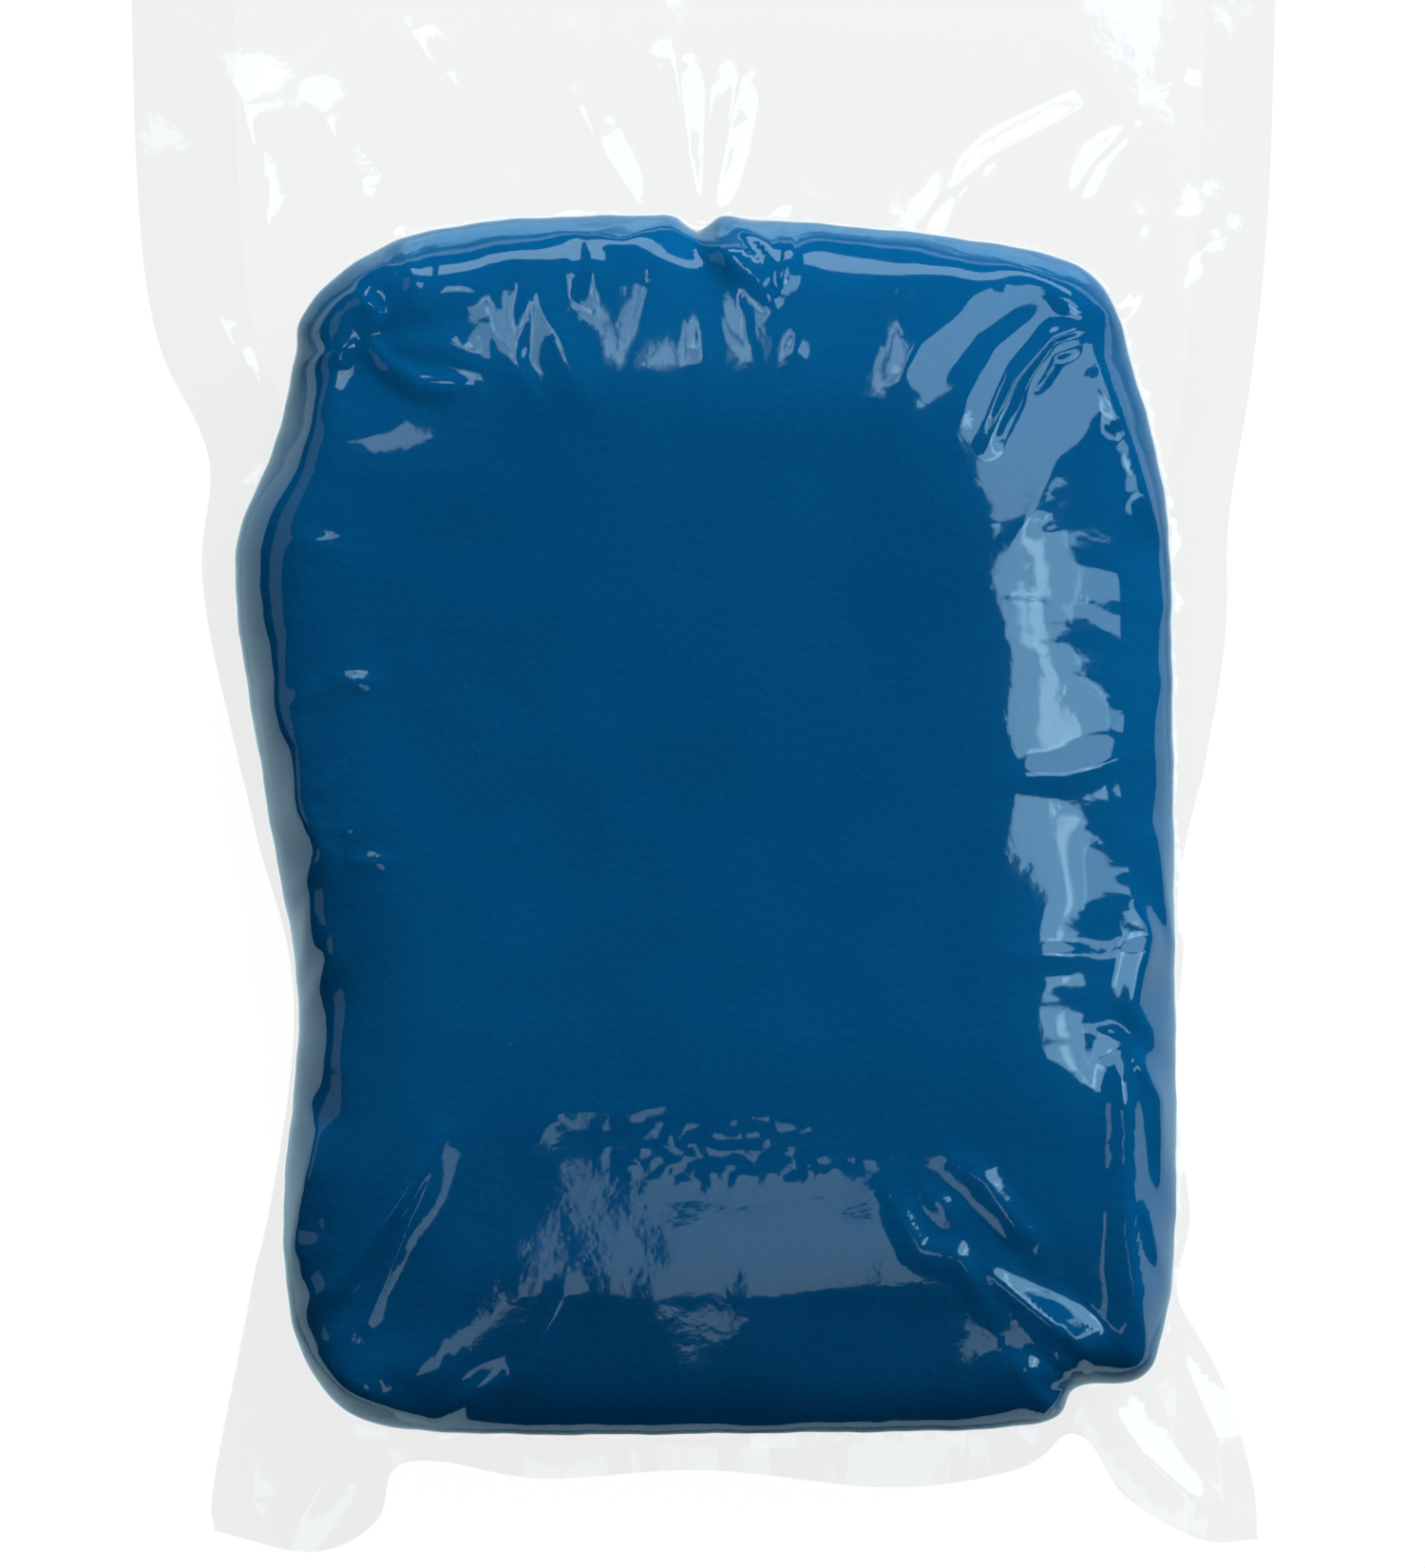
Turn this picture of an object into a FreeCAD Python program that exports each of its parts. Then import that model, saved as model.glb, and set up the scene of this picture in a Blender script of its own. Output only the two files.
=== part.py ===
"""A 200 g detailing clay bar, vacuum packed in a clear three-side-seal pouch and lying on its back.

The slab of clay is gripped between two plies of film. Each ply is formed over its half of the slab,
runs out flat at half height and is welded to the other ply along both sides, the bottom and the top.
Millimetres, +Z up, +Y towards the pouch's mouth, origin under the middle of the pouch.
"""

import FreeCAD, Part
import Sketcher
import math
import os

VECTOR = FreeCAD.Vector
TOLERANCE = 1e-6
STARTING_RADIUS = 50  # of the ring that a sketch's corners start on, before their dimensions move them

# The driving dimensions, which the spreadsheet holds.
DIMENSIONS = {
    "pouch_width": 100,
    "pouch_length": 150,
    "film_gauge": 0.1,
    "clay_width": 81.8,
    "clay_length": 105.6,
    "clay_thickness": 14.3,
    "clay_offset_y": -11.5,
    "corner_radius": 8,
    "edge_radius": 6.2,
    "side_seal_width": 8,
    "straight_seal_end": 44,
    "left_seal_turn": 18,
    "left_seal_low": -34.8,
    "right_seal_turn": 20,
    "right_seal_low": 39.5,
    "bottom_seal_line": -63.5,
    "top_seal_width": 6,
    "lip_length": 5,
}

# Heights and lines worked out from the spreadsheet, as expressions for the features to use.
WELD_HEIGHT = "(Dims.film_gauge + Dims.clay_thickness / 2)"
BACK_PLY_BASE = f"({WELD_HEIGHT} - Dims.film_gauge)"
SEAL_THICKNESS = "(2 * Dims.film_gauge)"
SIDE_SEAL_LINE = "(Dims.pouch_width / 2 - Dims.side_seal_width)"
MOUTH_LINE = "(Dims.pouch_length / 2)"
TOP_SEAL_OUTER = f"({MOUTH_LINE} - Dims.lip_length)"
TOP_SEAL_INNER = f"({TOP_SEAL_OUTER} - Dims.top_seal_width)"
BEYOND = "Dims.pouch_length"

# The slab's outline before its corners are rounded, as shares of half its width and half its length
# about its own middle. It has a shoulder on each side, a waist on the left and clipped corners.
CLAY_CORNERS = [
    (-0.89, 0.80), (-0.61, 0.98), (0.07, 1.0), (0.77, 0.94), (0.92, 0.80), (0.99, 0.37), (1.0, -0.73),
    (0.93, -0.95), (0.69, -1.0), (-0.70, -1.0), (-0.89, -0.86), (-0.89, -0.62), (-0.84, -0.26),
    (-1.0, 0.44),
]

# The pouch's edges as shares of half its width and half its length. The header is straight, then the
# sides draw in round the slab, more on the left, and flare into the two ears below it.
LEFT_EDGE = [
    (-1.0, 1.0), (-0.985, 0.60), (-0.95, 0.41), (-0.86, 0.27), (-0.87, 0.12), (-0.79, -0.15),
    (-0.72, -0.36), (-0.77, -0.63), (-0.85, -0.91), (-0.85, -0.97),
]
# Round the left ear, along the wavy flange, up into the nick beside the right ear, and round that.
BOTTOM_EDGE = [
    (-0.85, -0.97), (-0.68, -0.995), (-0.57, -0.96), (-0.54, -0.90), (-0.46, -0.89), (-0.28, -0.91),
    (0.0, -0.90), (0.32, -0.92), (0.54, -0.90), (0.65, -0.86), (0.73, -0.93), (0.86, -0.98),
    (0.96, -0.98),
]
RIGHT_EDGE = [
    (0.96, -0.98), (0.95, -0.91), (0.90, -0.80), (0.83, -0.70), (0.85, -0.60), (0.82, -0.45),
    (0.84, -0.30), (0.83, -0.23), (0.90, 0.04), (0.91, 0.20), (0.95, 0.37), (0.98, 0.58), (1.0, 1.0),
]


def make_sheet(doc):
    """The spreadsheet that every size is bound to."""
    sheet = doc.addObject("Spreadsheet::Sheet", "Dims")
    for row, (alias, value) in enumerate(DIMENSIONS.items(), start=1):
        sheet.set(f"A{row}", alias)
        sheet.set(f"B{row}", str(value))
        sheet.setAlias(f"B{row}", alias)
    doc.recompute()


def new_body(doc, name, height):
    """A body with an empty sketch on its own XY plane, lifted to a height."""
    body = doc.addObject("PartDesign::Body", name)
    sketch = body.newObject("Sketcher::SketchObject", name + "_outline")
    plane = next(f for f in body.Origin.OriginFeatures if f.Role == "XY_Plane")
    sketch.AttachmentSupport = [(plane, "")]
    sketch.MapMode = "FlatFace"
    sketch.setExpression(".AttachmentOffset.Base.z", height)
    return body, sketch


def add_pad(doc, body, sketch, thickness):
    """Pads the sketch upwards."""
    pad = body.newObject("PartDesign::Pad", body.Name + "_pad")
    pad.Profile = sketch
    pad.setExpression("Length", thickness)
    doc.recompute()


def close_chain(sketch, count):
    """Joins each edge's end to the next edge's start, all the way round."""
    for i in range(count):
        sketch.addConstraint(Sketcher.Constraint("Coincident", i, 2, (i + 1) % count, 1))


def polygon_prism(doc, name, corners, height, thickness):
    """A body that is a prism on a polygon, whose corners are pairs of expressions."""
    body, sketch = new_body(doc, name, height)
    turns = [2 * math.pi * i / len(corners) for i in range(len(corners))]
    ring = [VECTOR(math.cos(turn), math.sin(turn), 0) * STARTING_RADIUS for turn in turns]
    for i, point in enumerate(ring):
        sketch.addGeometry(Part.LineSegment(point, ring[(i + 1) % len(ring)]), False)
    close_chain(sketch, len(ring))
    for i, (corner, point) in enumerate(zip(corners, ring)):
        for kind, text, value in (("DistanceX", corner[0], point.x), ("DistanceY", corner[1], point.y)):
            index = sketch.addConstraint(Sketcher.Constraint(kind, -1, 1, i, 1, value))
            sketch.setExpression(f"Constraints[{index}]", text)
    add_pad(doc, body, sketch, thickness)
    return body


def pouch_prism(doc, name, height, thickness):
    """A flat plate of the whole pouch's outline: three splines and the straight mouth."""
    body, sketch = new_body(doc, name, height)
    half_width = doc.Dims.pouch_width / 2
    half_length = doc.Dims.pouch_length / 2
    for edge in (LEFT_EDGE, BOTTOM_EDGE, RIGHT_EDGE):
        curve = Part.BSplineCurve()
        curve.interpolate([VECTOR(x * half_width, y * half_length, 0) for x, y in edge])
        sketch.addGeometry(curve, False)
    mouth = [VECTOR(x * half_width, y * half_length, 0) for x, y in (RIGHT_EDGE[-1], LEFT_EDGE[0])]
    sketch.addGeometry(Part.LineSegment(*mouth), False)
    close_chain(sketch, 4)
    add_pad(doc, body, sketch, thickness)
    return body


def edges_where(shape, test):
    """The names of a shape's edges that pass a test, as a fillet wants them."""
    return [f"Edge{i}" for i, edge in enumerate(shape.Edges, start=1) if test(edge.BoundBox)]


def is_vertical(box):
    return max(box.XLength, box.YLength) < TOLERANCE


def is_level(box):
    return box.ZLength < TOLERANCE


def add_fillet(doc, body, name, test, radius):
    """Rounds the edges of the body's last feature that pass a test."""
    base = body.Tip
    fillet = body.newObject("PartDesign::Fillet", name)
    fillet.Base = (base, edges_where(base.Shape, test))
    fillet.setExpression("Radius", radius)
    doc.recompute()


def clay_bar(doc):
    """The slab: a clipped, waisted outline with rounded corners and wide soft edges."""
    corners = [
        (f"{x} * Dims.clay_width / 2", f"{y} * Dims.clay_length / 2 + Dims.clay_offset_y")
        for x, y in CLAY_CORNERS
    ]
    body = polygon_prism(doc, "clay_bar", corners, "Dims.film_gauge", "Dims.clay_thickness")
    add_fillet(doc, body, "rounded_corners", is_vertical, "Dims.corner_radius")
    add_fillet(doc, body, "soft_edges", is_level, "Dims.edge_radius")
    return body


def boolean(doc, kind, name, base, tool):
    """A Part::Cut, Part::Common or Part::Fuse of two objects."""
    result = doc.addObject("Part::" + kind, name)
    result.Base = base
    result.Tool = tool
    result.Refine = True
    doc.recompute()
    return result


def box_between(doc, name, low, high):
    """A box from one corner to the opposite one, each three expressions."""
    box = doc.addObject("Part::Box", name)
    for axis, size, start, end in zip("xyz", ("Length", "Width", "Height"), low, high):
        box.setExpression(f".Placement.Base.{axis}", start)
        box.setExpression(size, f"({end}) - ({start})")
    doc.recompute()
    return box


def unsealed_window(doc, name, base, thickness):
    """The area between the seals, where the plies only touch, and the lips beyond the top seal."""
    inside = [
        (f"-{SIDE_SEAL_LINE}", TOP_SEAL_INNER),
        (f"-{SIDE_SEAL_LINE}", "Dims.straight_seal_end"),
        ("Dims.left_seal_low", "Dims.left_seal_turn"),
        ("Dims.left_seal_low", "Dims.bottom_seal_line"),
        ("Dims.right_seal_low", "Dims.bottom_seal_line"),
        ("Dims.right_seal_low", "Dims.right_seal_turn"),
        (SIDE_SEAL_LINE, "Dims.straight_seal_end"),
        (SIDE_SEAL_LINE, TOP_SEAL_INNER),
    ]
    lips = [
        (f"-{SIDE_SEAL_LINE}", MOUTH_LINE),
        (f"-{SIDE_SEAL_LINE}", TOP_SEAL_OUTER),
        (SIDE_SEAL_LINE, TOP_SEAL_OUTER),
        (SIDE_SEAL_LINE, MOUTH_LINE),
    ]
    window = polygon_prism(doc, name + "_inside", inside, base, thickness)
    lip = polygon_prism(doc, name + "_lips", lips, base, thickness)
    return boolean(doc, "Fuse", name, window, lip)


def film_ply(doc, name, skin, wrapped, base, low, high):
    """One ply: the skin formed over its half of the slab, the flat margin round it, and its lip."""
    half_space = box_between(
        doc, name + "_half", (f"-{BEYOND}", f"-{BEYOND}", low), (BEYOND, BEYOND, high))
    panel = boolean(doc, "Common", name + "_panel", skin, half_space)
    window = unsealed_window(doc, name + "_window", base, "Dims.film_gauge")
    margin = boolean(doc, "Cut", name + "_margin", window, wrapped)
    return boolean(doc, "Fuse", name, panel, margin)


def welded_ring(doc, wrapped):
    """The border where the two plies have become one, less whatever the slab takes up."""
    blank = pouch_prism(doc, "seal_blank", BACK_PLY_BASE, SEAL_THICKNESS)
    window = unsealed_window(doc, "seal_window", BACK_PLY_BASE, SEAL_THICKNESS)
    border = boolean(doc, "Cut", "seal_border", blank, window)
    return boolean(doc, "Cut", "seal_ring", border, wrapped)


def seal_band(doc, name, ring, low, high):
    """The part of the welded ring between two corners, given in plan."""
    area = box_between(doc, name + "_area", (*low, BACK_PLY_BASE), (*high, "Dims.clay_thickness"))
    return boolean(doc, "Common", name, ring, area)


def seals(doc, wrapped):
    """The two side seals, full length, the bottom seal between them, and the top seal."""
    ring = welded_ring(doc, wrapped)
    left, right = "Dims.left_seal_low", "Dims.right_seal_low"
    return [
        seal_band(doc, "left_side_seal", ring, (f"-{BEYOND}", f"-{BEYOND}"), (left, BEYOND)),
        seal_band(doc, "right_side_seal", ring, (right, f"-{BEYOND}"), (BEYOND, BEYOND)),
        seal_band(doc, "bottom_seal", ring, (left, f"-{BEYOND}"), (right, "Dims.clay_offset_y")),
        box_between(
            doc,
            "top_seal",
            (f"-{SIDE_SEAL_LINE}", TOP_SEAL_INNER, BACK_PLY_BASE),
            (SIDE_SEAL_LINE, TOP_SEAL_OUTER, f"{BACK_PLY_BASE} + {SEAL_THICKNESS}"),
        ),
    ]


def check_features(doc):
    """Stops if any feature failed to build."""
    failed = [o.Name for o in doc.Objects if "Invalid" in o.State or "Error" in o.State]
    if failed:
        raise RuntimeError(f"failed features: {failed}")


def check_shape(node):
    """Stops unless the node is one or more valid solids."""
    if node.Shape.isNull() or not node.Shape.isValid() or not node.Shape.Solids:
        raise RuntimeError(f"{node.Name} has no valid solid")


def write_step(node):
    """Writes the node's solids to a file named after its label, and prints their size."""
    solids = Part.makeCompound(node.Shape.Solids)
    solids.exportStep(os.path.join("parts", node.Label + ".step"))
    box = solids.BoundBox
    print(
        f"{node.Label}: {len(solids.Solids)} solids, {solids.Volume:.1f} mm3, "
        f"x {box.XMin:.2f}..{box.XMax:.2f} y {box.YMin:.2f}..{box.YMax:.2f} "
        f"z {box.ZMin:.2f}..{box.ZMax:.2f}"
    )


def main():
    doc = FreeCAD.newDocument("clay_bar_pouch")
    make_sheet(doc)
    clay = clay_bar(doc)
    wrapped = doc.addObject("Part::Offset", "wrapped_slab")
    wrapped.Source = clay
    wrapped.setExpression("Value", "Dims.film_gauge")
    doc.recompute()
    skin = boolean(doc, "Cut", "film_skin", wrapped, clay)
    nodes = [
        clay,
        film_ply(doc, "front_film", skin, wrapped, WELD_HEIGHT, WELD_HEIGHT, "2 * Dims.clay_thickness"),
        film_ply(doc, "back_film", skin, wrapped, BACK_PLY_BASE, "-Dims.film_gauge", WELD_HEIGHT),
        *seals(doc, wrapped),
    ]
    check_features(doc)
    os.makedirs("parts", exist_ok=True)
    for node in nodes:
        check_shape(node)
    for node in nodes:
        write_step(node)


main()
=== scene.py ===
"""Looks of the vacuum packed clay bar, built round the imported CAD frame.

Lengths are millimetres in the row frame (+Z out of the front face, +Y towards the pouch's mouth) until
a mesh is made. The slab is a soft pad with an edge that rolls over more or less steeply from place to
place. Each ply of film is one grid of the whole 100 x 150 mm cut: it runs flat through the header and
the welds, and over the slab it follows the clay with pleats and folds standing off it.
"""

import math
import bpy
import numpy as np
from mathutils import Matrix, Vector


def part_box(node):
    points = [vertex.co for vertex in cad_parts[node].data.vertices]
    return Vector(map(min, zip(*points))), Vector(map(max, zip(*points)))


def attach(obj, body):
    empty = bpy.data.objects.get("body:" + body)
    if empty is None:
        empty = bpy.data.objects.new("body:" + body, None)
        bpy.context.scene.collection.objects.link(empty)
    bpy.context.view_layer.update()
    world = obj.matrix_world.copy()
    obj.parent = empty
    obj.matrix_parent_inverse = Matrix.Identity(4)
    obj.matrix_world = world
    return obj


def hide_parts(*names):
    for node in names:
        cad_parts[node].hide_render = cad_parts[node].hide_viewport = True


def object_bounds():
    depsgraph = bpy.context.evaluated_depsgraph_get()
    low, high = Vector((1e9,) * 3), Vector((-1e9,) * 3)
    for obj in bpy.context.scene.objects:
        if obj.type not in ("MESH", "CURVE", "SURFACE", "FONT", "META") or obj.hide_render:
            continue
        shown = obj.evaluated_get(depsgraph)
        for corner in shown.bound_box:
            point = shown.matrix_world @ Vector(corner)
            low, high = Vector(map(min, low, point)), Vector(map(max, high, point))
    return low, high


MM = 0.001

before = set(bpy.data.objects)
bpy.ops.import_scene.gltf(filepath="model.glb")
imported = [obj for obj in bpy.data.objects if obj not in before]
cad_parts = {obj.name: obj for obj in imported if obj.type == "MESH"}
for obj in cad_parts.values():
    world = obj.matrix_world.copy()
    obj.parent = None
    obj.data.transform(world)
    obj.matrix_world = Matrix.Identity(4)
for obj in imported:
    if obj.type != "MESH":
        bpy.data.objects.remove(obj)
cad_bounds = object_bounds()


# ---------------------------------------------------------------- sizes, read from the frame

def box_mm(node):
    """A CAD node's lowest and highest corners, in millimetres."""
    return [np.array(corner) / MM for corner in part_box(node)]


CLAY_LOW, CLAY_HIGH = box_mm("clay_bar")
POUCH_LOW = np.array(cad_bounds[0]) / MM
POUCH_HIGH = np.array(cad_bounds[1]) / MM
SEAL_LOW, SEAL_HIGH = box_mm("top_seal")

WELD = (SEAL_LOW[2] + SEAL_HIGH[2]) / 2
CLAY_MIDDLE = (CLAY_HIGH + CLAY_LOW) / 2
HALF_POUCH = POUCH_HIGH[:2]
RISE = CLAY_HIGH[2] - WELD


# ---------------------------------------------------------------- outlines

# The slab seen from the front, clockwise from its top left corner, in millimetres. It has a shoulder
# and a waist on the left, and its bottom right corner is pulled up into a step by the bottom weld.
CLAY_OUTLINE = [
    (-34.5, 32.5), (-29.5, 37.3), (-22, 40), (-9, 41), (9, 40.4), (27, 38.3), (34.5, 35.3), (37.7, 27),
    (40.4, 15.5), (40.9, 0), (41.1, -22), (41.2, -45), (40.2, -55), (38, -59.6), (32.5, -60.3),
    (28.5, -63.6), (5, -64.3), (-20, -64.3), (-30, -62.7), (-34.9, -56.5), (-36.2, -45),
    (-34.9, -27), (-37.6, -10), (-40.4, 10.5), (-37, 21), (-35.2, 28.5),
]
SIDE_STARTS = {"top": 0, "right": 6, "bottom": 13, "left": 19}
NOTCH_X, NOTCH_DEPTH, NOTCH_WIDTH = -0.7, 1.4, 1.8
EDGE_WAVE = 0.045

# The pouch's edges, as shares of half its width and half its length.
LEFT_EDGE = [
    (-1.0, 1.0), (-0.985, 0.60), (-0.95, 0.41), (-0.86, 0.27), (-0.87, 0.12), (-0.79, -0.15),
    (-0.72, -0.36), (-0.77, -0.63), (-0.85, -0.91), (-0.85, -0.97),
]
BOTTOM_EDGE = [
    (-0.85, -0.97), (-0.68, -0.995), (-0.57, -0.96), (-0.54, -0.90), (-0.46, -0.89), (-0.28, -0.91),
    (0.0, -0.90), (0.32, -0.92), (0.54, -0.90), (0.65, -0.86), (0.73, -0.93), (0.86, -0.98),
    (0.96, -0.98),
]
RIGHT_EDGE = [
    (0.96, -0.98), (0.95, -0.91), (0.90, -0.80), (0.83, -0.70), (0.85, -0.60), (0.82, -0.45),
    (0.84, -0.30), (0.83, -0.23), (0.90, 0.04), (0.91, 0.20), (0.95, 0.37), (0.98, 0.58), (1.0, 1.0),
]


def catmull_rom(points, closed, steps):
    """A smooth line through the points, with steps pieces between each two."""
    points = np.array(points, float)
    if closed:
        padded = np.vstack([points[-1:], points, points[:2]])
    else:
        padded = np.vstack([2 * points[:1] - points[1:2], points, 2 * points[-1:] - points[-2:-1]])
    t = np.arange(steps)[:, None] / steps
    line = []
    for a, b, c, d in zip(padded, padded[1:], padded[2:], padded[3:]):
        line.append(0.5 * (
            2 * b + (c - a) * t + (2 * a - 5 * b + 4 * c - d) * t ** 2 + (3 * b - a - 3 * c + d) * t ** 3
        ))
    if not closed:
        line.append(points[-1:])
    return np.vstack(line)


def along(line, shares):
    """Points at those shares of an open line's length."""
    steps = np.linalg.norm(np.diff(line, axis=0), axis=1)
    place = np.concatenate([[0], np.cumsum(steps)]) / steps.sum()
    return np.stack([np.interp(shares, place, line[:, 0]), np.interp(shares, place, line[:, 1])], axis=-1)


def fitted(points, low, high):
    """The points stretched so that they just fill the box from low to high."""
    points = np.array(points, float)
    own_low, own_high = points.min(0), points.max(0)
    return low + (points - own_low) * (high - low) / (own_high - own_low)


def notched(line):
    """The outline with a nick pushed into its top edge and the clay raised a little beside it."""
    across = (line[:, 0] - NOTCH_X) / NOTCH_WIDTH
    push = NOTCH_DEPTH * (1 - across ** 2) * np.exp(-across ** 2)
    on_top = line[:, 1] > CLAY_MIDDLE[1]
    return np.column_stack([line[:, 0], line[:, 1] - np.where(on_top, push, 0)])


def wavy(line):
    """The outline with the small unevenness that the tight film leaves in the clay's edge."""
    x, y = line.T
    return line + EDGE_WAVE * np.column_stack([
        np.sin(0.83 * y + 0.4) + 0.6 * np.sin(1.9 * y + 0.3 * x),
        np.sin(0.71 * x + 1.1) + 0.6 * np.sin(1.7 * x + 0.4 * y),
    ])


OUTLINE_STEPS = 20
SMOOTH_OUTLINE = catmull_rom(fitted(CLAY_OUTLINE, CLAY_LOW[:2], CLAY_HIGH[:2]), True, OUTLINE_STEPS)
OUTLINE = wavy(notched(SMOOTH_OUTLINE))
OUTLINE_NEXT = np.roll(OUTLINE, -1, axis=0)
OUTLINE_SEGMENTS = np.linalg.norm(OUTLINE_NEXT - OUTLINE, axis=1)
OUTLINE_START = np.concatenate([[0], np.cumsum(OUTLINE_SEGMENTS)[:-1]])
OUTLINE_LENGTH = OUTLINE_SEGMENTS.sum()


def side_numbers():
    """Which of the four sides each piece of the slab's outline belongs to."""
    starts = [start * OUTLINE_STEPS for start in SIDE_STARTS.values()]
    index = np.arange(len(OUTLINE))
    return (np.searchsorted(starts, index, side="right") - 1) % len(starts)


class Placed:
    """Points in plan, with what the slab's outline says about each: inset is the distance in from
    the outline (negative outside it), edge the place along it, nearest the point of it, soft_inset
    the same distance with the corners' hips rounded off, and one_side is 0 on those hips."""

    HIP = 3.0
    CHUNK = 4000

    def __init__(self, xy):
        self.xy = xy
        self.inset = np.empty(len(xy))
        self.soft_inset = np.empty(len(xy))
        self.one_side = np.empty(len(xy))
        self.edge = np.empty(len(xy))
        self.nearest = np.empty_like(xy)
        sides = side_numbers()
        for start in range(0, len(xy), self.CHUNK):
            self._place(slice(start, start + self.CHUNK), sides)

    def _place(self, chunk, sides):
        p = self.xy[chunk, None, :]
        run = OUTLINE_NEXT - OUTLINE
        t = (((p - OUTLINE) * run).sum(-1) / (run ** 2).sum(-1)).clip(0, 1)
        foot = OUTLINE + t[..., None] * run
        away = np.linalg.norm(p - foot, axis=-1)
        best = away.argmin(1)
        rows = np.arange(len(best))
        inside = self._inside(self.xy[chunk])
        self.inset[chunk] = away[rows, best] * np.where(inside, 1, -1)
        self.edge[chunk] = OUTLINE_START[best] + t[rows, best] * OUTLINE_SEGMENTS[best]
        self.nearest[chunk] = foot[rows, best]
        to_sides = np.stack([away[:, sides == side].min(1) for side in range(4)])
        soft = -self.HIP * np.log(np.exp(-to_sides / self.HIP).sum(0))
        first, second = np.sort(to_sides, axis=0)[:2]
        self.one_side[chunk] = np.maximum(1 - smooth(first, 2, 6), smooth(second - first, 1, 7))
        share = smooth(self.inset[chunk], 1.0, 9.0)
        self.soft_inset[chunk] = self.inset[chunk] * (1 - share) + np.maximum(soft, 0) * share

    @staticmethod
    def _inside(xy):
        x, y = xy[:, :1], xy[:, 1:]
        x0, y0 = OUTLINE.T
        x1, y1 = OUTLINE_NEXT.T
        crosses = (y0 > y) != (y1 > y)
        with np.errstate(divide="ignore", invalid="ignore"):
            at = x0 + (y - y0) * (x1 - x0) / (y1 - y0)
        return (crosses & (x < at)).sum(1) % 2 == 1

    @property
    def x(self):
        return self.xy[:, 0]

    @property
    def y(self):
        return self.xy[:, 1]


# ---------------------------------------------------------------- shaping functions

def smooth(value, low, high):
    """0 below low, 1 above high, and an S curve between."""
    t = ((value - low) / (high - low)).clip(0, 1)
    return t * t * (3 - 2 * t)


def noise(x, y, size, seed):
    """Smooth random bumps of about that size, from about -1 to 1."""
    x, y = x / size, y / size
    column, row = np.floor(x).astype(int), np.floor(y).astype(int)
    fx, fy = x - column, y - row
    wx, wy = fx ** 3 * (fx * (6 * fx - 15) + 10), fy ** 3 * (fy * (6 * fy - 15) + 10)
    lattice = np.random.default_rng(seed).uniform(0, 2 * math.pi, (64, 64))

    def corner(dx, dy):
        angle = lattice[(column + dx) % 64, (row + dy) % 64]
        return np.cos(angle) * (fx - dx) + np.sin(angle) * (fy - dy)

    low = corner(0, 0) * (1 - wx) + corner(1, 0) * wx
    high = corner(0, 1) * (1 - wx) + corner(1, 1) * wx
    return 1.5 * (low * (1 - wy) + high * wy)


def by_place(placed, anchors):
    """A value that varies smoothly between the values given at a few places."""
    total, weights = 0.0, 0.0
    for (x, y), value in anchors:
        weight = 1 / ((placed.x - x) ** 2 + (placed.y - y) ** 2 + 16) ** 2
        total = total + weight * value
        weights = weights + weight
    return total / weights


def facets(position, spacing, seed):
    """Random heights from 0 to 1 along a line, joined by straight runs, and repeating after the
    outline's length. Flat facets with sharp ridges between are how tight film creases."""
    random = np.random.default_rng(seed)
    steps = random.uniform(0.5, 1.7, round(OUTLINE_LENGTH / spacing))
    knots = np.concatenate([[0], np.cumsum(steps)]) * OUTLINE_LENGTH / steps.sum()
    heights = random.uniform(0, 1, len(knots))
    heights[::2] *= 0.35
    heights[-1] = heights[0]
    return np.interp(position % OUTLINE_LENGTH, knots, heights)


def to_line(placed, points):
    """Distance to an open line of points, and the share of the line's length at the nearest point."""
    points = np.array(points, float)
    lengths = np.linalg.norm(np.diff(points, axis=0), axis=1)
    starts = np.concatenate([[0], np.cumsum(lengths)])
    away, share = np.full(len(placed.x), np.inf), np.zeros(len(placed.x))
    for a, b, length, start in zip(points, points[1:], lengths, starts):
        t = ((placed.xy - a) @ (b - a) / length ** 2).clip(0, 1)
        reach = np.linalg.norm(placed.xy - a - t[:, None] * (b - a), axis=1)
        nearer = reach < away
        away[nearer] = reach[nearer]
        share[nearer] = ((start + t * length) / starts[-1])[nearer]
    return away, share


# ---------------------------------------------------------------- the slab

# The front rises from the weld in two parts: a tight round at the edge, and a crown that goes on
# rising for some way in. Each place has the crown's reach and its share of the rise. The front stays
# a little under the top of the CAD box, to leave room for the film, and falls towards the bottom.
CROWN_REACH = [
    ((-36, 20), 12), ((-38, -5), 10), ((-36, -35), 12), ((-33, -58), 15), ((-10, -63), 17),
    ((15, -63), 17), ((33, -60), 17), ((40, -40), 17), ((41, -10), 19), ((41, 12), 22),
    ((36, 30), 22), ((20, 40), 19), ((0, 40), 17), ((-20, 40), 19), ((-32, 33), 18),
]
CROWN_SHARE = [
    ((-38, 0), 0.40), ((-34, -50), 0.52), ((-10, -63), 0.82), ((15, -63), 0.82), ((38, -55), 0.58),
    ((41, -10), 0.58), ((36, 30), 0.60), ((0, 41), 0.52), ((-30, 35), 0.55),
]
ROUND_REACH = 5.0
FILM_ROOM = 0.25
BOTTOM_FALL, FALL_START, FALL_END = 1.5, 28, 64


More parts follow.
